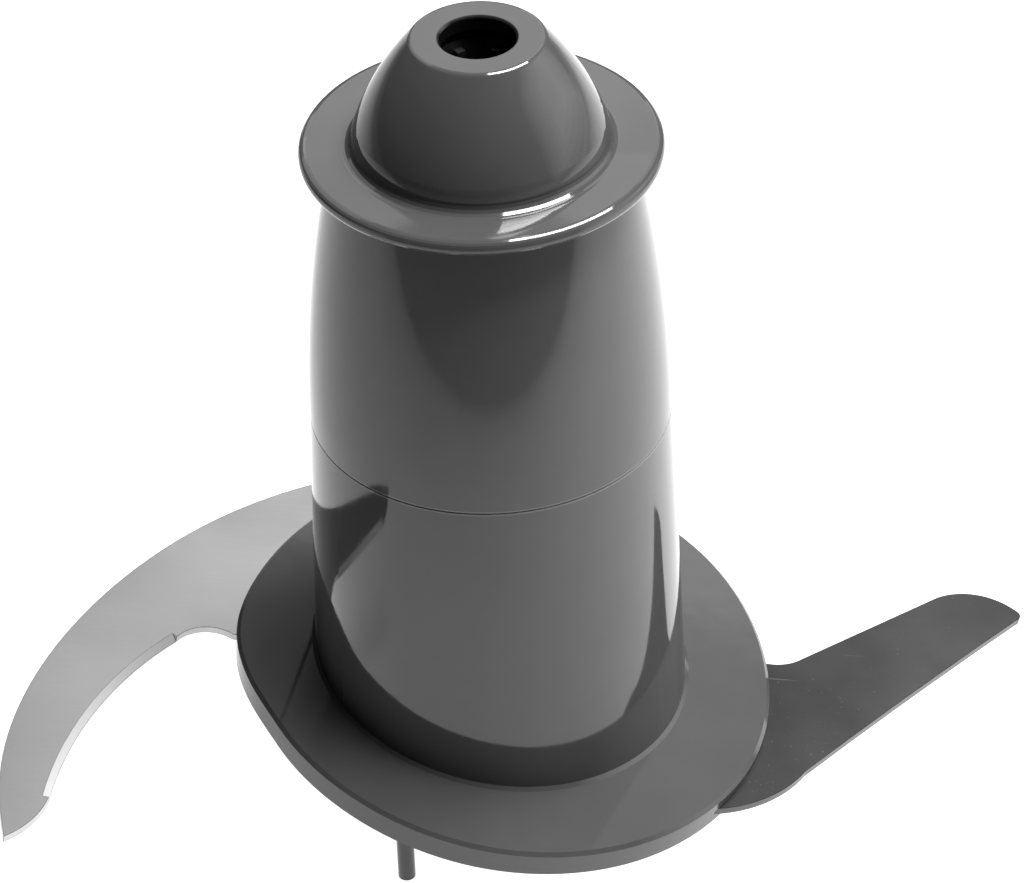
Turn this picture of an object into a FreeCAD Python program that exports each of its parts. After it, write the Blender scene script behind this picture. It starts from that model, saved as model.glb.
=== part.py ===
"""Food processor blade: a hollow hub with a lifting collar, and two steel blades clamped in a tilted flange.

The origin is on the hub's axis, in the plane that the part stands on. +Z is up the hub.
The high blade reaches towards -X and the low blade towards +X.
"""
import FreeCAD, Part
import math
import os

os.makedirs("parts", exist_ok=True)
Vector = FreeCAD.Vector
UP = Vector(0, 0, 1)
ORIGIN = Vector(0, 0, 0)

# Hub, heights from the plane that it stands on
collar_height = 119.2       # middle of the lifting collar
cone_rise = 18.1            # from the middle of the collar to the top face
seam_drop = 45.5            # from the middle of the collar to the joint of the two sleeves
flange_height = 25.1        # upper face of the flange, on the axis

# Cone and top face
top_hole_radius = 5.4
top_face_radius = 9.6
cone_foot_radius = 18.5
cone_shoulder_radius = 9.0  # the round that turns the cone's side upright above the collar
cone_shoulder_turn = 22.0   # degrees from upright where the side runs into that round
cone_foot_fillet = 1.4
top_edge_round = 0.9
hole_edge_bevel = 0.35

# Collar
collar_radius = 26.0
collar_thickness = 2.4
collar_dish = 0.35          # how much lower its upper face is beside the cone

# Barrel, whose radii follow the seam
seam_radius = 26.85
neck_inset = 5.15           # smaller at the collar
shoulder_inset = 1.45       # smaller half way up to the collar
foot_flare = 2.25           # larger at the foot, which ends under the flange
foot_depth = 14.1           # below the flange's upper face
wall = 2.2
neck_fillet = 0.8
flange_bevel = 0.5          # bead where the barrel meets the flange
bead_bite = 0.02            # how far the bead's upper edge reaches into the barrel

# Joint of the two sleeves
spigot_length = 6.0
spigot_wall = 1.1
seam_groove = 0.12          # bevel on both sides of the joint line
fit_gap = 0.1               # clearance of every piece that plugs into another

# Tilted flange and what it clamps, measured square to its face
flange_tilt = 10.7          # degrees
downhill_angle = -31.2      # degrees about +Z, towards the flange's lowest point
flange_radius = 39.0        # where the rim comes closest to the hub
flange_thickness = 2.0
rim_bevel = 0.55
blade_thickness = 1.2
plate_thickness = 2.0
plate_setback = 0.25        # how far its rim lies inside the flange's rim
lip_gap = 0.2               # between its raised edge and the blades
sleeve_rib_count = 6
sleeve_rib_thickness = 1.8

# How far the rim swells out beyond that radius, by degrees about its axis
rim_swell = (
    (-150, 0.2), (-125, 0.7), (-95, 2.2), (-62, 3.8), (-28, 4.3), (5, 3.2), (40, 2.9), (78, 2.0),
    (112, 0.9), (143, 0.3), (163, 1.0), (180, 1.9), (196, 1.0),
)

# Blades
blade_reach = 87.4          # from the axis to the low blade's tip
root_inner_radius = 16.5
root_outer_radius = 33.0
root_split = 1.0            # gap between the two roots
bevel_width = 1.0
edge_land = 0.25            # steel left at the cutting edge

# Stakes moulded under the flange, through the roots and the plate
stake_radius = 1.75
stake_circle_radius = 24.5
stake_angles = (130.0, 230.0, 310.0, 50.0)
stake_head_radius = 3.0
stake_head_height = 1.1
stake_head_bevel = 0.7

# Drive socket
socket_outer_radius = 11.5
socket_foot_radius = 13.4
socket_foot_height = 5.0
socket_foot_bevel = 1.2
socket_bore_radius = 7.0
socket_bore_length = 40.0
socket_top_radius = 8.2
socket_top_length = 34.0
socket_top_gap = 1.6        # under the inside of the top face
spline_bore_radius = 5.9
spline_tip_radius = 4.7
spline_thickness = 1.3
spline_count = 6
spline_end_drop = 5.0       # the splines stop this far under the top face
boss_wall = 2.0
boss_length = 14.0
cone_rib_thickness = 1.6

# Standing pegs under the plate
peg_count = 3
peg_circle_radius = 28.4
peg_first_angle = -123.0
peg_radius = 1.35
peg_tip_bevel = 0.5

round_step = 22.5           # degrees; a small round is drawn in straight steps of this turn

top_height = collar_height + cone_rise
seam_height = collar_height - seam_drop
collar_top = collar_height + collar_thickness / 2
collar_bottom = collar_height - collar_thickness / 2
neck_radius = seam_radius - neck_inset
foot_radius = seam_radius + foot_flare
foot_height = flange_height - foot_depth


def polar(radius, angle):
    """A point in the XY plane, from a radius and an angle in degrees."""
    return Vector(radius * math.cos(math.radians(angle)), radius * math.sin(math.radians(angle)), 0)


def upright(radius, angle):
    """A point in the profile's plane, from a radius and an angle in degrees above level."""
    return Vector(radius * math.cos(math.radians(angle)), 0, radius * math.sin(math.radians(angle)))


def line(start, end):
    return Part.LineSegment(start, end).toShape()


def arc(start, middle, end):
    return Part.Arc(start, middle, end).toShape()


def curve(points, closed=False):
    spline = Part.BSplineCurve()
    spline.interpolate(Points=points, PeriodicFlag=closed)
    return spline.toShape()


def chain(points):
    """Straight edges from each point to the next."""
    return [line(start, end) for start, end in zip(points, points[1:])]


def eased(before, corner, after, radius):
    """Points of a small round at a profile's corner, drawn in straight steps."""
    into = (before - corner).normalize()
    out = (after - corner).normalize()
    half = into.getAngle(out) / 2
    centre = corner + (into + out).normalize() * (radius / math.sin(half))
    reach = radius / math.tan(half)
    first = corner + into * reach - centre
    last = corner + out * reach - centre
    turn = first.getAngle(last)
    steps = math.ceil(math.degrees(turn) / round_step)
    return [
        centre + first * (math.sin(turn * (1 - step / steps)) / math.sin(turn))
        + last * (math.sin(turn * step / steps) / math.sin(turn))
        for step in range(steps + 1)
    ]


def prism(edges, bottom, top):
    """A flat outline in the XY plane, raised between two heights."""
    face = Part.Face(Part.Wire(Part.__sortEdges__(edges)))
    solid = face.extrude(Vector(0, 0, top - bottom))
    solid.translate(Vector(0, 0, bottom))
    return solid


def turned(edges):
    """A closed profile of radius and height, turned about the hub's axis."""
    face = Part.Face(Part.Wire(Part.__sortEdges__(edges)))
    solid = face.revolve(ORIGIN, UP, 360)
    return Part.Solid(solid.Shells[0]) if solid.ShapeType != "Solid" else solid


def tube(inner, outer, bottom, top):
    body = Part.makeCylinder(outer, top - bottom, Vector(0, 0, bottom))
    return body.cut(Part.makeCylinder(inner, top - bottom + 2, Vector(0, 0, bottom - 1)))


def tilted(shape):
    """Set a shape made about the flange's own axis into its tilted place. Its z = 0 is the flange's upper face."""
    hinge = polar(1, downhill_angle + 90)
    placed = shape.copy()
    placed.rotate(ORIGIN, hinge, flange_tilt)
    placed.translate(Vector(0, 0, flange_height))
    return placed


def rim(setback, bottom, top):
    """The flange's disc, whose rim swells towards the blades."""
    points = [polar(flange_radius + swell - setback, angle) for angle, swell in rim_swell]
    return prism([curve(points, closed=True)], bottom, top)


def rim_edge(disc, height):
    """The rim's edge at one height."""
    return min(disc.Edges, key=lambda edge: abs(edge.CenterOfMass.z - height) + (edge.Length < flange_radius))


def circle_edge(shape, radius, height):
    """The edge of a turned shape that is a circle of this radius at this height."""
    def misfit(edge):
        if not hasattr(edge.Curve, "Radius"):
            return math.inf
        return abs(edge.Curve.Radius - radius) + abs(edge.Curve.Center.z - height)
    return min(shape.Edges, key=misfit)


def radial_ribs(inner, outer, thickness, count, bottom, top):
    ribs = []
    for index in range(count):
        rib = Part.makeBox(outer - inner, thickness, top - bottom, Vector(inner, -thickness / 2, bottom))
        rib.rotate(ORIGIN, UP, 360 * index / count)
        ribs.append(rib)
    return ribs[0].multiFuse(ribs[1:])


# Levels in the flange's own frame
blade_top = -flange_thickness
blade_bottom = blade_top - blade_thickness
plate_bottom = blade_bottom - plate_thickness


def cone_path(inset):
    """The cone's swelling side, moved in by inset: its top and middle, then start, middle and end of the shoulder."""
    centre = Vector(cone_foot_radius - cone_shoulder_radius, 0, collar_top)
    end = math.degrees(math.asin(cone_foot_fillet / cone_shoulder_radius))
    turns = (cone_shoulder_turn, (cone_shoulder_turn + end) / 2, end)
    start, middle, foot = [centre + upright(cone_shoulder_radius - inset, turn) for turn in turns]
    outer_start = centre + upright(cone_shoulder_radius, cone_shoulder_turn)
    chord = outer_start - Vector(top_face_radius, 0, top_height)
    slope = math.degrees(math.atan2(chord.x, -chord.z))
    bulge = chord.Length / 2 * math.tan(math.radians(slope - cone_shoulder_turn) / 2)
    side = outer_start - chord * 0.5 + upright(bulge - inset, slope)
    high = Vector(top_face_radius - inset * math.tan(math.radians(45 - slope / 2)), 0, top_height - inset)
    return high, side, start, middle, foot


def upper_barrel_path(inset):
    """The barrel's line from the collar down to the seam, moved in by inset."""
    return (
        Vector(neck_radius - inset, 0, collar_bottom),
        Vector(seam_radius - shoulder_inset - inset, 0, (collar_bottom + seam_height) / 2),
        Vector(seam_radius - inset, 0, seam_height),
    )


def on_arc(points, height):
    """The point at one height on the arc through three points."""
    circle = arc(*points).Curve
    offset = math.sqrt(circle.Radius ** 2 - (height - circle.Center.z) ** 2)
    return Vector(circle.Center.x + offset, 0, height)


def upper_outside():
    """The outside of cone, collar and upper barrel as a solid form."""
    top = Vector(0, 0, top_height)
    high, side, tangent, middle, foot = cone_path(0)
    corner = Vector(cone_foot_radius, 0, collar_top - collar_dish)
    rim_top = Vector(collar_radius, 0, collar_top)
    rim_bottom = Vector(collar_radius, 0, collar_bottom)
    rim_round = 0.45 * collar_thickness
    neck, shoulder, seam = upper_barrel_path(0)
    barrel_start = on_arc((neck, shoulder, seam), collar_bottom - 2 * neck_fillet)
    barrel_end = on_arc((neck, shoulder, seam), seam_height + seam_groove)
    cone_top = eased(top, high, side, top_edge_round)
    collar = (
        eased(foot, corner, rim_top, cone_foot_fillet)
        + eased(corner, rim_top, rim_bottom, rim_round)
        + eased(rim_top, rim_bottom, neck, rim_round)
        + eased(rim_bottom, neck, barrel_start, neck_fillet)
    )
    floor = [barrel_end, Vector(seam.x - seam_groove, 0, seam_height), Vector(0, 0, seam_height), top]
    return turned(
        chain([top] + cone_top)
        + [arc(cone_top[-1], side, tangent)]
        + [arc(tangent, middle, foot)]
        + chain([foot] + collar + [barrel_start])
        + [arc(barrel_start, shoulder, barrel_end)]
        + chain(floor)
    )


def upper_inside(inset):
    """The inside of the upper sleeve, an inset away from its outside."""
    top = top_height - inset
    high, side, tangent, middle, foot = cone_path(inset)
    below_collar = Vector(foot.x, 0, collar_bottom - inset)
    barrel = [point for point in upper_barrel_path(inset) if point.z < below_collar.z]
    path = [Vector(0, 0, top), high, side, tangent, middle, foot, below_collar] + barrel
    return turned(chain(path + [Vector(0, 0, seam_height), Vector(0, 0, top)]))


def upper_sleeve():
    """Cone, lifting collar and the upper half of the barrel, one moulding with an open underside."""
    body = upper_outside().cut(upper_inside(wall))
    spigot = tube(seam_radius - wall, seam_radius - wall + spigot_wall, seam_height - spigot_length, seam_height + wall)
    boss_inner = socket_top_radius + fit_gap
    boss_outer = boss_inner + boss_wall
    boss_bottom = top_height - wall - boss_length
    boss = tube(boss_inner, boss_outer, boss_bottom, top_height)
    ribs = radial_ribs(
        boss_outer - boss_wall / 2, neck_radius, cone_rib_thickness, sleeve_rib_count,
        boss_bottom + boss_wall, top_height,
    )
    space = upper_inside(wall / 2)
    body = body.fuse([spigot, boss.common(space), ribs.common(space)]).removeSplitter()
    body = body.cut(Part.makeCylinder(top_hole_radius, 3 * wall, Vector(0, 0, top_height - 2 * wall)))
    return body.makeChamfer(hole_edge_bevel, [circle_edge(body, top_hole_radius, top_height)])


def barrel_form(inset):
    """The lower barrel from the seam down past the flange, a straight flare moved in by inset."""
    length = seam_height - foot_height
    return Part.makeCone(foot_radius - inset, seam_radius - inset, length, Vector(0, 0, foot_height))


def barrel_section(inset, height):
    """The lower barrel's outline, moved in by inset, at a height above the flange's upper face."""
    span = 4 * flange_radius
    sheet = Part.makePlane(span, span, Vector(-span / 2, -span / 2, height))
    return tilted(sheet).common(barrel_form(inset)).Faces[0].OuterWire


def lower_sleeve():
    """Lower half of the barrel with its tilted flange, and the stakes moulded under it."""
    reach = 3 * flange_radius
    below = tilted(Part.makeBox(2 * reach, 2 * reach, reach, Vector(-reach, -reach, blade_top - reach)))
    above = tilted(Part.makeBox(2 * reach, 2 * reach, reach, Vector(-reach, -reach, 0)))
    flange = rim(0, blade_top, 0)
    flange = flange.makeChamfer(rim_bevel, [rim_edge(flange, 0)])
    bead = Part.makeLoft([barrel_section(-flange_bevel, 0), barrel_section(bead_bite, flange_bevel)], True, True)
    barrel = barrel_form(0)
    barrel = barrel.makeChamfer(seam_groove, [circle_edge(barrel, seam_radius, seam_height)])
    body = barrel.cut(below).fuse([tilted(flange), bead])
    body = body.cut(barrel_form(wall).common(above))
    rebate = seam_radius - wall + spigot_wall + fit_gap
    depth = spigot_length + fit_gap
    body = body.cut(Part.makeCylinder(rebate, depth, Vector(0, 0, seam_height - depth)))

    socket_hole = socket_outer_radius + fit_gap
    bottom = flange_height - reach
    top = flange_height + boss_length
    boss = tube(socket_hole, socket_hole + boss_wall, bottom, top)
    ribs = radial_ribs(
        socket_hole + boss_wall / 2, foot_radius, sleeve_rib_thickness, sleeve_rib_count, bottom, top,
    )
    ribs = ribs.common(barrel_form(wall / 2))
    stiffening = boss.fuse(ribs).common(above)
    body = body.fuse(stiffening).removeSplitter()
    body = body.cut(Part.makeCylinder(socket_hole, 2 * reach, Vector(0, 0, -reach)))
    for angle in stake_angles:
        body = body.fuse(tilted(stake(angle)))
    return body


def stake(angle):
    """One stake, formed over into a low head on the plate's underside."""
    spot = polar(stake_circle_radius, angle)
    shank = Part.makeCylinder(stake_radius, -flange_thickness / 2 - plate_bottom, spot + Vector(0, 0, plate_bottom))
    under = plate_bottom - stake_head_height
    head = Part.makeCylinder(stake_head_radius, stake_head_height, spot + Vector(0, 0, under))
    head = head.makeChamfer(stake_head_bevel, [circle_edge(head, stake_head_radius, under)])
    return shank.fuse(head)


def root(side):
    """Half of the ring that the flange clamps, with two stake holes. side is -1 for the high blade."""
    ring = tube(root_inner_radius, root_outer_radius, blade_bottom, blade_top)
    span = 2 * root_outer_radius
    corner = Vector(root_split / 2 if side > 0 else -root_split / 2 - span, -span, blade_bottom - 1)
    half = Part.makeBox(span, 2 * span, blade_thickness + 2, corner)
    return ring.common(half)


def stake_holes(bottom, top):
    holes = []
    for angle in stake_angles:
        spot = polar(stake_circle_radius, angle) + Vector(0, 0, bottom - 1)
        holes.append(Part.makeCylinder(stake_radius + fit_gap, top - bottom + 2, spot))
    return holes


def bevel_profile(face_height, side):
    """The steel that a bevel takes off: pairs of depth into the blade and height. side is 1 for the upper face."""
    down = blade_thickness - edge_land
    beyond = 1.0
    past = down * (1 + beyond / bevel_width)
    return [
        (bevel_width, face_height),
        (-beyond, face_height - side * past),
        (-beyond, face_height + side),
        (bevel_width, face_height + side),
    ]


def polygon(points):
    return Part.Face(Part.makePolygon(points + points[:1]))


def ground_arc(blade, start, middle, end, face_height, side):
    """Grind a bevel along a hollow arc of the outline."""
    circle = arc(start, middle, end).Curve
    first = start - circle.Center
    sweep = math.degrees(first.getAngle(end - circle.Center))
    if first.cross(end - circle.Center).z < 0:
        sweep = -sweep
    outward = first.normalize()
    profile = [
        circle.Center + outward * (circle.Radius + depth) + UP * height
        for depth, height in bevel_profile(face_height, side)
    ]
    return blade.cut(polygon(profile).revolve(circle.Center, UP, sweep))


def ground_line(blade, start, end, face_height, side):
    """Grind a bevel along a straight stretch whose steel lies to the right of start to end."""
    along = end - start
    inward = Vector(along.y, -along.x, 0).normalize()
    profile = [start + inward * depth + UP * height for depth, height in bevel_profile(face_height, side)]
    return blade.cut(polygon(profile).extrude(along))


def at(x, y):
    """A point of a blade's outline, given in hundredths of the blades' reach."""
    return Vector(x, y, 0) * (blade_reach / 100)


def upper_blade():
    """The high blade: a sickle with its cutting edge on the hollow side."""
    inside_rim = at(-13.7, 37.2)
    outer_start = at(-34.0, 40.3)
    outer_end = at(-84.7, -47.3)
    tip = at(-84.1, -50.7)
    edge_end = at(-77.1, -41.1)
    edge_middle = at(-70.4, -19.6)
    edge_start = at(-57.2, -1.3)
    neck = at(-47.3, 0.5)
    root_corner = at(-27.5, -1.1)
    outline = [
        arc(inside_rim, at(-23.5, 43.0), outer_start),
        curve([outer_start, at(-53.3, 27.3), at(-71.9, 5.5), at(-83.1, -18.8), at(-85.7, -34.3), outer_end]),
        line(outer_end, tip),
        arc(tip, at(-79.9, -46.8), edge_end),
        arc(edge_end, edge_middle, edge_start),
        arc(edge_start, at(-52.9, 1.6), neck),
        line(neck, root_corner),
        line(root_corner, inside_rim),
    ]
    return ground_arc(blade_from(outline, -1), edge_end, edge_middle, edge_start, blade_top, 1)


def lower_blade():
    """The low blade: nearly straight, swept forward, with its cutting edge on the far side."""
    neck = at(48.3, 4.3)
    edge_start = at(55.3, 6.1)
    edge_end = at(81.8, 24.7)
    tip = at(96.8, 22.8)
    back_start = at(96.5, 20.7)
    back_end = at(54.3, -21.1)
    belly_end = at(38.1, -31.7)
    far_root = at(27.5, 4.6)
    near_root = at(22.9, -29.7)
    outline = [
        line(far_root, neck),
        arc(neck, at(52.2, 4.5), edge_start),
        line(edge_start, edge_end),
        arc(edge_end, at(88.7, 26.4), tip),
        arc(tip, at(97.2, 21.8), back_start),
        arc(back_start, at(76.7, 1.5), back_end),
        arc(back_end, at(47.7, -27.7), belly_end),
        line(belly_end, near_root),
        line(near_root, far_root),
    ]
    return ground_line(blade_from(outline, 1), edge_start, edge_end, blade_bottom, -1)


def blade_from(outline, side):
    """Stamp a blade from its outline and its half-ring root."""
    sheet = prism(outline, blade_bottom, blade_top)
    sheet = sheet.cut(tube(0.1, root_inner_radius, blade_bottom - 1, blade_top + 1))
    blade = sheet.fuse(root(side)).removeSplitter()
    for hole in stake_holes(blade_bottom, blade_top):
        blade = blade.cut(hole)
    return blade


def plate_lip():
    """The plate's raised edge, which closes the gap under the flange and lets the blades pass."""
    lip = rim(plate_setback, blade_bottom, blade_top)
    lip = lip.cut(Part.makeCylinder(root_outer_radius + fit_gap, 4 * blade_thickness, Vector(0, 0, 2 * blade_bottom)))
    for blade in (upper_blade(), lower_blade()):
        for turn in range(0, 360, 45):
            lip = lip.cut(blade.translated(polar(lip_gap, turn)))
    return lip


def bottom_plate():
    """The plate under the blades, with the pegs that it stands on."""
    plate = rim(plate_setback, plate_bottom, blade_bottom)
    plate = plate.makeChamfer(rim_bevel, [rim_edge(plate, plate_bottom)])
    plate = plate.fuse(plate_lip()).removeSplitter()
    for hole in stake_holes(plate_bottom, blade_bottom):
        plate = plate.cut(hole)
    plate = tilted(plate)
    socket_hole = socket_outer_radius + fit_gap
    plate = plate.cut(Part.makeCylinder(socket_hole, 4 * flange_height, Vector(0, 0, -flange_height)))
    space_below = plate_thickness / 2 - 2 * flange_height
    trim = tilted(rim(plate_setback + wall, plate_bottom + space_below, plate_bottom + plate_thickness / 2))
    for index in range(peg_count):
        plate = plate.fuse(peg(peg_first_angle + 360 * index / peg_count).common(trim))
    return plate.removeSplitter()


def peg(angle):
    """One peg from the standing plane up into the plate."""
    body = Part.makeCylinder(peg_radius, 2 * flange_height, polar(peg_circle_radius, angle))
    return body.makeChamfer(peg_tip_bevel, [circle_edge(body, peg_radius, 0)])


def drive_socket():
    """The drive tube: a plain bore at the foot, then splines, up to the hole in the top face."""
    top = top_height - wall - socket_top_gap
    step = top_height - socket_top_length
    foot = tube(socket_bore_radius, socket_foot_radius, 0, socket_foot_height)
    barrel = tube(socket_bore_radius, socket_outer_radius, 0, socket_bore_length)
    shaft = tube(spline_bore_radius, socket_outer_radius, socket_bore_length, step)
    neck = tube(spline_bore_radius, socket_top_radius, step, top)
    body = foot.fuse([barrel, shaft, neck]).removeSplitter()
    body = body.makeChamfer(wall, [circle_edge(body, socket_outer_radius, step)])
    body = body.makeChamfer(socket_foot_bevel, [circle_edge(body, socket_foot_radius, socket_foot_height)])
    splines = radial_ribs(
        spline_tip_radius, (spline_bore_radius + socket_top_radius) / 2, spline_thickness, spline_count,
        socket_bore_length, top_height - spline_end_drop,
    )
    return body.fuse(splines).removeSplitter()


def main():
    pieces = {
        "upper_sleeve": upper_sleeve(),
        "lower_sleeve": lower_sleeve(),
        "drive_socket": drive_socket(),
        "upper_blade": tilted(upper_blade()),
        "lower_blade": tilted(lower_blade()),
        "bottom_plate": bottom_plate(),
    }
    for name, shape in pieces.items():
        box = shape.BoundBox
        print(name, "solids", len(shape.Solids), "valid", shape.isValid(), "volume", round(shape.Volume, 1),
              "box", [round(value, 2) for value in (box.XMin, box.XMax, box.YMin, box.YMax, box.ZMin, box.ZMax)])
        shape.exportStep("parts/" + name + ".step")


main()
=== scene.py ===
"""Food processor blade on a pale floor in soft studio light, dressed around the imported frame."""
import math

import bpy
from mathutils import Matrix, Vector

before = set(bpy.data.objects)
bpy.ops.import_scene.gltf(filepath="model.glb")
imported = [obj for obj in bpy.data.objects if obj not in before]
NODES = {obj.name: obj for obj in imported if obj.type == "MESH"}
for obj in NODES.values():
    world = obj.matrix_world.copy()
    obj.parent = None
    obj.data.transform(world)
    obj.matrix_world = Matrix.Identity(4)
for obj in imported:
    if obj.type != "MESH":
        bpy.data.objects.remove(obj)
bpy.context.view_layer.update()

# The photograph's frame, in pixels, and its camera, in metres
IMAGE_WIDTH = 1024
IMAGE_HEIGHT = 883
SENSOR_MM = 36.0
CAMERA_ELEVATION = math.radians(37.9)
CAMERA_ROLL = math.radians(-1.9)
CAMERA_DISTANCE = 0.600
CLIP_START = 0.01
PIXELS_PER_METRE = 7064.0            # at the collar
COLLAR_LEVEL = 0.119
COLLAR_PIXEL = (481.5, 146.3)        # where the collar's centre lies in the image

# The hub's plastic, with its tones as 8-bit greys
HUB_TONES = (63, 68)
HUB_TINT = (1.0, 1.0, 1.02)
HUB_GLOSS = (0.045, 0.085)           # lowest and highest roughness
HUB_IOR = 1.52
SEAM_MM = 73.7                       # level of the joint between the sleeves
# A paler band painted along the joint, as painted light over its groove: its half width and its grey
SEAM_HALF_MM = 0.35
SEAM_LIGHT_TONE = 98
BORE_MM = (5.5, 5.9)                 # the painted shade inside the top hole ends between these radii
BORE_SHADE_TONE = 14
SOCKET_TONES = (20, 26)
SOCKET_GLOSS = (0.35, 0.5)

# The collar's face leans outwards by this slope between these radii
COLLAR_LEAN = 0.155
COLLAR_FACE_MM = (19.6, 25.6)
COLLAR_BLEND_MM = 0.6                # over which the lean sets in
COLLAR_FOOT_MM = (117.6, 118.0)      # levels between which the lean sets in
COLLAR_UPRIGHT = (0.90, 0.98)        # it sets in where a face points up by this much

# The blades' steel, with its tones as 8-bit greys; both blades are one steel, and their face, tip and edge tones
# carry painted light and shade for how each is lit
BLADE_REACH_MM = (42.0, 88.0)        # from the flange's rim to the blades' tips, over which the painted light and shade shifts to the tip tone
BLADE_GLOSS = (0.30, 0.36)
BLADE_FACE = (0.985, 0.998)          # a broad face's normal lies this near to the blade's own
EDGE_METALLIC = 0.35                 # the ground edges look less like a mirror
FACE_UPWARD = 0.9                    # a face counts as an upper one from this rise of its normal
TONE_SPREAD = 3                      # of the clouds on a broad face, either way
EDGE_SPREAD = 4                      # of the clouds on a ground edge
GRAIN_TONES = (250, 255)
CORNER_RADIUS = 0.00022              # of the painted shade line along a corner
CORNER_SHADE_TONE = 75
MARK_ANGLE = 0.5                     # between the grain and the scratches
# A lit copy of the steel for the upper blade and a shaded copy for the lower: their face and tip tones are painted
# light and shade
STEELS = {
    "upper_blade": dict(
        name="blade_steel", tone=153, tip_lighting_tone=111, ground_and_lit_edge_tone=215, mark_tone=136,
        turn=math.radians(60), tint=(1.0, 1.0, 1.0),
    ),
    "lower_blade": dict(
        name="low_blade_steel", tone=52, tip_lighting_tone=82, ground_and_lit_edge_tone=84, mark_tone=102,
        turn=math.radians(-40), tint=(1.0, 0.985, 1.0),
    ),
}

# The lit table
FLOOR_HALF = 3.0
FLOOR_ROUGHNESS = 0.9
PAPER_ALBEDO = (0.19, 0.21)
GLOW_LEFT = 0.81
GLOW_RIGHT = 1.54
GLOW_SLOPE_MM = (-120.0, 120.0)      # from the left glow to the right one
GLOW_FADE_MM = (-222.0, -90.0)       # from dark to full glow, in front of the part
GLOW_STOPS = [(0.04, 0.0), (0.19, 0.45), (0.38, 0.68), (1.0, 1.0)]    # share of that way, share of the glow
GLOW_REACH_MM = (300.0, 1300.0)      # the glow dims between these distances from the hub
GLOW_FAR = 0.12                      # what is left of it there

# The studio: name, place, aim, width and depth in metres, power in watts
WORLD_STRENGTH = 0.01
HUB_AIM = (0, 0, 0.08)
TOP_LIGHT = ("top_box", (0.43, 0.08, 1.28), (0, 0, 0.05), 0.72, 0.62, 45.0)
BACK_LIGHTS = [
    ("back_box", (0.0, 1.05, 0.79), HUB_AIM, 0.95, 0.60, 2.1),
    ("right_back_box", (0.35, 0.95, 1.15), HUB_AIM, 0.8, 0.5, 0.5),
    ("left_back_box", (-0.75, 0.95, 1.1), HUB_AIM, 0.9, 0.9, 2.0),
    ("window", (0.085, 0.60, 1.15), (0, 0, 0.12), 0.12, 0.25, 0.75),
]

# The right light is a nest of boxes, so that it gets brighter towards its middle
NEST_BOXES = 6
NEST_PLACE = (1.3, 0.1, 0.5)
NEST_STEP = 0.02                     # each box stands this much nearer than the one before
NEST_WIDTH = (2.0, 0.28)             # of the outermost box, and how much each next one loses
NEST_DEPTH = (1.15, 0.15)
NEST_POWER = 0.88                    # watts per square metre of each box


def srgb(value):
    """Linear value of an 8-bit grey."""
    share = value / 255
    return share / 12.92 if share <= 0.04045 else ((share + 0.055) / 1.055) ** 2.4


def grey(value, tint=(1.0, 1.0, 1.0)):
    """Colour of an 8-bit grey."""
    level = srgb(value)
    return (level * tint[0], level * tint[1], level * tint[2], 1.0)


def plain(level):
    """Grey of a linear level."""
    return (level, level, level, 1.0)


def add_camera():
    """Camera at the photograph's viewing angle, aimed so that the collar falls on its pixel."""
    focal_pixels = PIXELS_PER_METRE * CAMERA_DISTANCE
    view = Vector((0, math.cos(CAMERA_ELEVATION), -math.sin(CAMERA_ELEVATION)))
    right = Vector((1, 0, 0))
    up = right.cross(view)
    rolled_right = right * math.cos(CAMERA_ROLL) + up * math.sin(CAMERA_ROLL)
    rolled_up = up * math.cos(CAMERA_ROLL) - right * math.sin(CAMERA_ROLL)
    shift_x = (COLLAR_PIXEL[0] - IMAGE_WIDTH / 2) / focal_pixels * CAMERA_DISTANCE
    shift_y = (IMAGE_HEIGHT / 2 - COLLAR_PIXEL[1]) / focal_pixels * CAMERA_DISTANCE
    collar = Vector((0, 0, COLLAR_LEVEL))
    place = collar - rolled_right * shift_x - rolled_up * shift_y - view * CAMERA_DISTANCE
    turn = Matrix((rolled_right, rolled_up, -view)).transposed()
    data = bpy.data.cameras.new("camera")
    data.sensor_width = SENSOR_MM
    data.lens = focal_pixels / IMAGE_WIDTH * SENSOR_MM
    data.clip_start = CLIP_START
    camera = bpy.data.objects.new("camera", data)
    camera.matrix_world = Matrix.Translation(place) @ turn.to_4x4()
    bpy.context.scene.collection.objects.link(camera)
    bpy.context.scene.camera = camera


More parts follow.
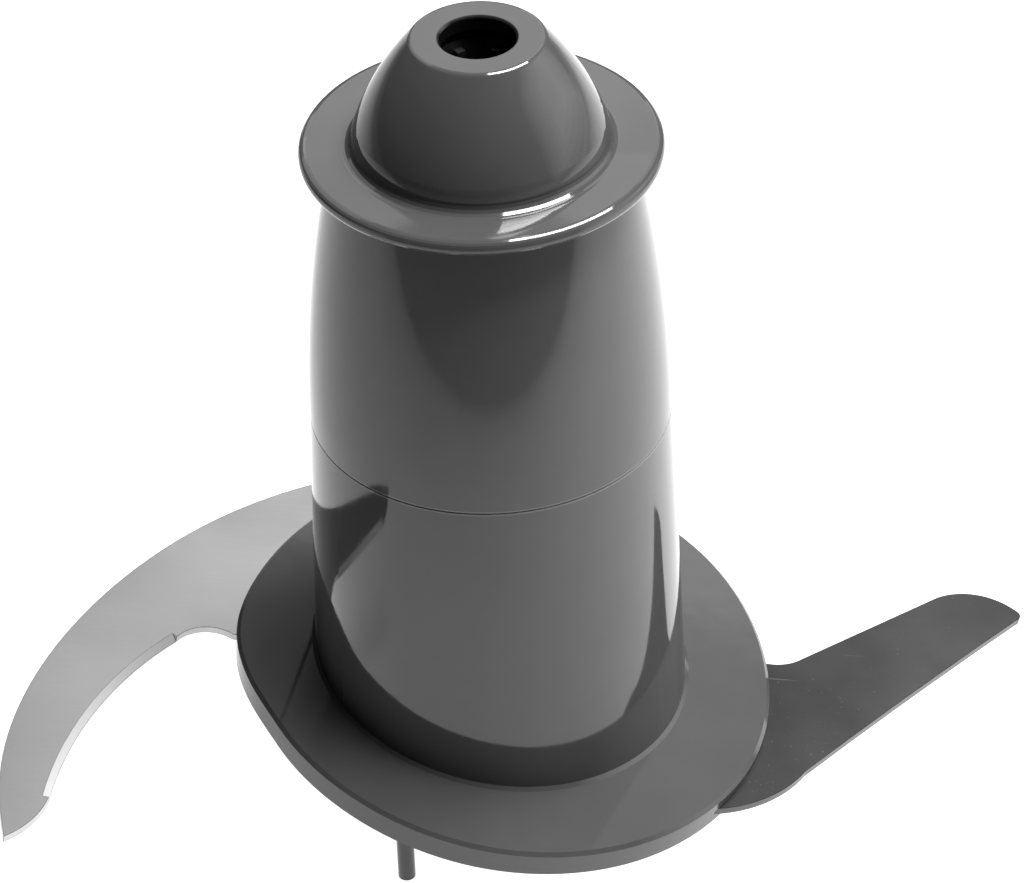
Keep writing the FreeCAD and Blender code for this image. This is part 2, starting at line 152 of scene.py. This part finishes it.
class Shader:
    """A material's node tree, with short calls for the nodes used here."""

    def __init__(self, name):
        self.material = bpy.data.materials.new(name)
        self.material.use_nodes = True
        self.tree = self.material.node_tree
        self.surface = self.tree.nodes["Principled BSDF"]

    def node(self, kind, **settings):
        """A new node with its settings."""
        made = self.tree.nodes.new(kind)
        for key, value in settings.items():
            setattr(made, key, value)
        return made

    def join(self, source, target):
        """Link a socket to an input, or set the input to a constant."""
        if isinstance(source, bpy.types.NodeSocket):
            self.tree.links.new(source, target)
        else:
            target.default_value = source

    def set(self, **values):
        """Give the surface its inputs, with an underscore for each space in a name."""
        for key, value in values.items():
            self.join(value, self.surface.inputs[key.replace("_", " ")])

    def coordinates(self, scale=(1, 1, 1), turn=0.0):
        """Object coordinates in millimetres, stretched by scale and turned about Z."""
        place = self.node("ShaderNodeTexCoord")
        mapping = self.node("ShaderNodeMapping", vector_type="POINT")
        mapping.inputs["Scale"].default_value = tuple(1000 * one for one in scale)
        mapping.inputs["Rotation"].default_value = (0, 0, turn)
        self.join(place.outputs["Object"], mapping.inputs["Vector"])
        return mapping.outputs["Vector"]

    def normal(self):
        """Normal in object coordinates."""
        return self.node("ShaderNodeTexCoord").outputs["Normal"]

    def noise(self, vector, scale, detail=4.0, rough=0.55):
        made = self.node("ShaderNodeTexNoise")
        made.inputs["Scale"].default_value = scale
        made.inputs["Detail"].default_value = detail
        made.inputs["Roughness"].default_value = rough
        self.join(vector, made.inputs["Vector"])
        return made.outputs["Fac"]

    def spread(self, source, low, high, start=0.3, end=0.7):
        """Map the range from start to end onto the range from low to high; the default range is that of a noise."""
        made = self.node("ShaderNodeMapRange")
        made.inputs["From Min"].default_value = start
        made.inputs["From Max"].default_value = end
        made.inputs["To Min"].default_value = low
        made.inputs["To Max"].default_value = high
        self.join(source, made.inputs["Value"])
        return made.outputs["Result"]

    def ramp(self, source, stops):
        """Colour by a value, from (position, colour) stops."""
        made = self.node("ShaderNodeValToRGB")
        made.color_ramp.elements[0].position, made.color_ramp.elements[0].color = stops[0]
        made.color_ramp.elements[1].position, made.color_ramp.elements[1].color = stops[-1]
        for position, color in stops[1:-1]:
            made.color_ramp.elements.new(position).color = color
        self.join(source, made.inputs["Fac"])
        return made.outputs["Color"]

    def clouds(self, source, first, last):
        """Colour by a noise, between two colours."""
        return self.ramp(source, [(0.3, first), (0.7, last)])

    def times(self, first, second):
        """Product of two colours."""
        made = self.node("ShaderNodeMix", data_type="RGBA", blend_type="MULTIPLY")
        made.inputs["Factor"].default_value = 1.0
        self.join(first, made.inputs[6])
        self.join(second, made.inputs[7])
        return made.outputs[2]

    def mix(self, share, first, second):
        """Blend from the first colour to the second."""
        made = self.node("ShaderNodeMix", data_type="RGBA")
        self.join(share, made.inputs["Factor"])
        self.join(first, made.inputs[6])
        self.join(second, made.inputs[7])
        return made.outputs[2]

    def product(self, first, second):
        """Product of two numbers."""
        made = self.node("ShaderNodeMath", operation="MULTIPLY")
        self.join(first, made.inputs[0])
        self.join(second, made.inputs[1])
        return made.outputs["Value"]

    def near(self, value, centre, reach):
        """One where a value is within reach of the centre, else zero."""
        made = self.node("ShaderNodeMath", operation="COMPARE")
        self.join(value, made.inputs[0])
        self.join(centre, made.inputs[1])
        self.join(reach, made.inputs[2])
        return made.outputs["Value"]

    def axis(self, vector, letter):
        """One coordinate of a vector."""
        made = self.node("ShaderNodeSeparateXYZ")
        self.join(vector, made.inputs["Vector"])
        return made.outputs[letter]

    def length(self, vector):
        """Length of a vector."""
        made = self.node("ShaderNodeVectorMath", operation="LENGTH")
        self.join(vector, made.inputs[0])
        return made.outputs["Value"]

    def radius(self, vector):
        """Distance from the Z axis."""
        flat = self.node("ShaderNodeVectorMath", operation="MULTIPLY")
        self.join(vector, flat.inputs[0])
        flat.inputs[1].default_value = (1, 1, 0)
        return self.length(flat.outputs["Vector"])

    def dot(self, first, second):
        """Dot product of two vectors."""
        made = self.node("ShaderNodeVectorMath", operation="DOT_PRODUCT")
        self.join(first, made.inputs[0])
        self.join(second, made.inputs[1])
        return made.outputs["Value"]

    def bump(self, height, strength, distance, normal=None):
        """Normal of a relief, laid over another normal if one is given."""
        made = self.node("ShaderNodeBump")
        self.join(strength, made.inputs["Strength"])
        made.inputs["Distance"].default_value = distance
        self.join(height, made.inputs["Height"])
        if normal is not None:
            self.join(normal, made.inputs["Normal"])
        return made.outputs["Normal"]


def hub_plastic(name, leaning=False):
    """Glossy dark grey moulding with a faint moulded ripple, a paler band of painted light along the seam and painted
    shade inside the top hole; the collar's face may lean outwards a little.
    """
    shader = Shader(name)
    vector = shader.coordinates()
    cloud = shader.noise(vector, scale=0.06, detail=5.0)
    color = shader.clouds(cloud, *(grey(tone, HUB_TINT) for tone in HUB_TONES))
    # Painted light: a paler band along the joint between the sleeves
    seam_light = shader.near(shader.axis(vector, "Z"), SEAM_MM, SEAM_HALF_MM)
    color = shader.mix(seam_light, color, grey(SEAM_LIGHT_TONE))
    # Painted shade inside the top hole
    bore_shade = shader.spread(shader.radius(vector), 1.0, 0.0, *BORE_MM)
    color = shader.mix(bore_shade, color, grey(BORE_SHADE_TONE))
    relief = shader.bump(shader.noise(vector, scale=0.22, detail=2.0), strength=0.25, distance=0.00002)
    if leaning:
        height, share = collar_lean(shader, vector)
        relief = shader.bump(height, share, distance=0.001, normal=relief)
    gloss = shader.spread(shader.noise(vector, scale=0.35, detail=6.0), *HUB_GLOSS)
    shader.set(Base_Color=color, Roughness=gloss, Normal=relief, IOR=HUB_IOR)
    return shader.material


def collar_lean(shader, vector):
    """Height that falls towards the collar's rim, and the share of it that applies on the collar's flat face."""
    radius = shader.radius(vector)
    start, end = COLLAR_FACE_MM
    height = shader.spread(radius, 0.0, -COLLAR_LEAN * (end - start), start, end)
    level = shader.spread(shader.dot(shader.normal(), (0, 0, 1)), 0.0, 1.0, *COLLAR_UPRIGHT)
    high = shader.spread(shader.axis(vector, "Z"), 0.0, 1.0, *COLLAR_FOOT_MM)
    wide = shader.spread(radius, 0.0, 1.0, start, start + COLLAR_BLEND_MM)
    return height, shader.product(shader.product(level, high), wide)


def socket_plastic():
    """Satin black moulding of the drive tube."""
    shader = Shader("socket_plastic")
    vector = shader.coordinates()
    color = shader.clouds(shader.noise(vector, scale=0.1), *(grey(tone) for tone in SOCKET_TONES))
    gloss = shader.spread(shader.noise(vector, scale=0.8, detail=6.0), *SOCKET_GLOSS)
    shader.set(Base_Color=color, Roughness=gloss)
    return shader.material


def face_normal(node):
    """Normal of a blade's broad upper face."""
    total = Vector((0, 0, 0))
    for polygon in NODES[node].data.polygons:
        if polygon.normal.z > FACE_UPWARD:
            total += polygon.normal * polygon.area
    return total.normalized()


def blade_steel(node, name, tone, tip_lighting_tone, ground_and_lit_edge_tone, mark_tone, turn, tint):
    """Finely ground stainless steel with paler cut edges and a painted shade line along every corner; the face, tip
    and edge tones carry painted light and shade for how each blade is lit.
    """
    shader = Shader(name)
    grain = shader.noise(shader.coordinates((0.12, 9.0, 0.4), turn), scale=1.0, detail=3.0, rough=0.5)
    cloud = shader.noise(shader.coordinates(), scale=0.05)
    speck = shader.noise(shader.coordinates(), scale=2.2, detail=2.0)
    marks = shader.noise(shader.coordinates((0.03, 2.0, 0.4), turn + MARK_ANGLE), scale=1.0, detail=2.0)

    # Face tone: painted light and shade, lit on the upper blade and shaded on the lower
    face = shader.clouds(cloud, grey(tone - TONE_SPREAD, tint), grey(tone + TONE_SPREAD, tint))
    # Painted light and shade that shifts towards the tip tone along the blade
    tip_lighting_share = shader.spread(shader.length(shader.coordinates()), 0.0, 1.0, *BLADE_REACH_MM)
    face = shader.mix(tip_lighting_share, face, grey(tip_lighting_tone, tint))
    fine = shader.ramp(grain, [(0.35, grey(GRAIN_TONES[0])), (0.65, grey(GRAIN_TONES[1]))])
    face = shader.times(face, fine)
    face = shader.mix(shader.spread(speck, 0.0, 1.0, start=0.70, end=0.78), face, grey(mark_tone))
    face = shader.mix(shader.spread(marks, 0.0, 0.5, start=0.74, end=0.79), face, grey(mark_tone))

    broad = shader.spread(shader.dot(shader.normal(), face_normal(node)), 0.0, 1.0, *BLADE_FACE)
    # Paler ground edges, with painted light and shade in the edge tone of each blade
    edge = shader.clouds(cloud, grey(ground_and_lit_edge_tone - EDGE_SPREAD), grey(ground_and_lit_edge_tone + EDGE_SPREAD))
    color = shader.mix(broad, edge, face)

    # Painted shade: a dark line along every corner of the blade
    rounded = shader.node("ShaderNodeBevel", samples=6)
    rounded.inputs["Radius"].default_value = CORNER_RADIUS
    geometry = shader.node("ShaderNodeNewGeometry")
    corner = shader.dot(rounded.outputs["Normal"], geometry.outputs["True Normal"])
    corner_shade = shader.ramp(corner, [(0.90, grey(CORNER_SHADE_TONE)), (0.99, grey(255))])

    shader.set(
        Base_Color=shader.times(color, corner_shade),
        Roughness=shader.spread(cloud, *BLADE_GLOSS),
        Metallic=shader.spread(broad, EDGE_METALLIC, 1.0, start=0.0, end=1.0),
        Normal=shader.bump(grain, strength=0.05, distance=0.000004),
    )
    return shader.material


def give(node, material):
    """Put one material on every slot of a CAD node."""
    mesh = NODES[node].data
    mesh.materials.clear()
    mesh.materials.append(material)


def add_floor():
    """A pale lit table: it glows under the part, more to the right, and fades out towards the camera and far away."""
    corners = [(x * FLOOR_HALF, y * FLOOR_HALF, 0) for x, y in ((-1, -1), (1, -1), (1, 1), (-1, 1))]
    mesh = bpy.data.meshes.new("floor")
    mesh.from_pydata(corners, [], [(0, 1, 2, 3)])
    floor = bpy.data.objects.new("floor", mesh)
    bpy.context.scene.collection.objects.link(floor)
    shader = Shader("floor")
    vector = shader.coordinates()
    paper = shader.clouds(shader.noise(vector, scale=0.02, detail=3.0), *(plain(level) for level in PAPER_ALBEDO))
    way = shader.spread(shader.axis(vector, "Y"), 0.0, 1.0, *GLOW_FADE_MM)
    fade = shader.ramp(way, [(position, plain(level)) for position, level in GLOW_STOPS])
    across = shader.spread(shader.axis(vector, "X"), GLOW_LEFT, GLOW_RIGHT, *GLOW_SLOPE_MM)
    far = shader.spread(shader.length(vector), 1.0, GLOW_FAR, *GLOW_REACH_MM)
    shader.set(
        Base_Color=paper,
        Roughness=FLOOR_ROUGHNESS,
        Emission_Color=plain(1.0),
        Emission_Strength=shader.product(shader.product(fade, across), far),
    )
    mesh.materials.append(shader.material)


def add_light(name, place, aim, width, depth, power):
    """A rectangular soft light at a place, facing a point."""
    data = bpy.data.lights.new(name, "AREA")
    data.shape = "RECTANGLE"
    data.size = width
    data.size_y = depth
    data.energy = power
    light = bpy.data.objects.new(name, data)
    direction = Vector(aim) - Vector(place)
    light.location = place
    light.rotation_euler = direction.to_track_quat("-Z", "Y").to_euler()
    bpy.context.scene.collection.objects.link(light)


def add_right_lights():
    """The nest of boxes on the right, each smaller and nearer than the one before."""
    for step in range(NEST_BOXES):
        place = (NEST_PLACE[0] - NEST_STEP * step, NEST_PLACE[1], NEST_PLACE[2])
        width = NEST_WIDTH[0] - NEST_WIDTH[1] * step
        depth = NEST_DEPTH[0] - NEST_DEPTH[1] * step
        add_light("right_box_%d" % step, place, HUB_AIM, width, depth, NEST_POWER * width * depth)


def add_world():
    world = bpy.data.worlds.new("studio")
    world.use_nodes = True
    background = world.node_tree.nodes["Background"]
    background.inputs["Color"].default_value = plain(1.0)
    background.inputs["Strength"].default_value = WORLD_STRENGTH
    bpy.context.scene.world = world


def main():
    add_camera()
    hub = hub_plastic("hub_plastic")
    give("upper_sleeve", hub_plastic("collar_plastic", leaning=True))
    give("lower_sleeve", hub)
    give("bottom_plate", hub)
    give("drive_socket", socket_plastic())
    for node, steel in STEELS.items():
        give(node, blade_steel(node, **steel))
    add_floor()
    add_world()
    add_light(*TOP_LIGHT)
    add_right_lights()
    for light in BACK_LIGHTS:
        add_light(*light)
    bpy.context.scene.view_settings.view_transform = "Standard"


main()
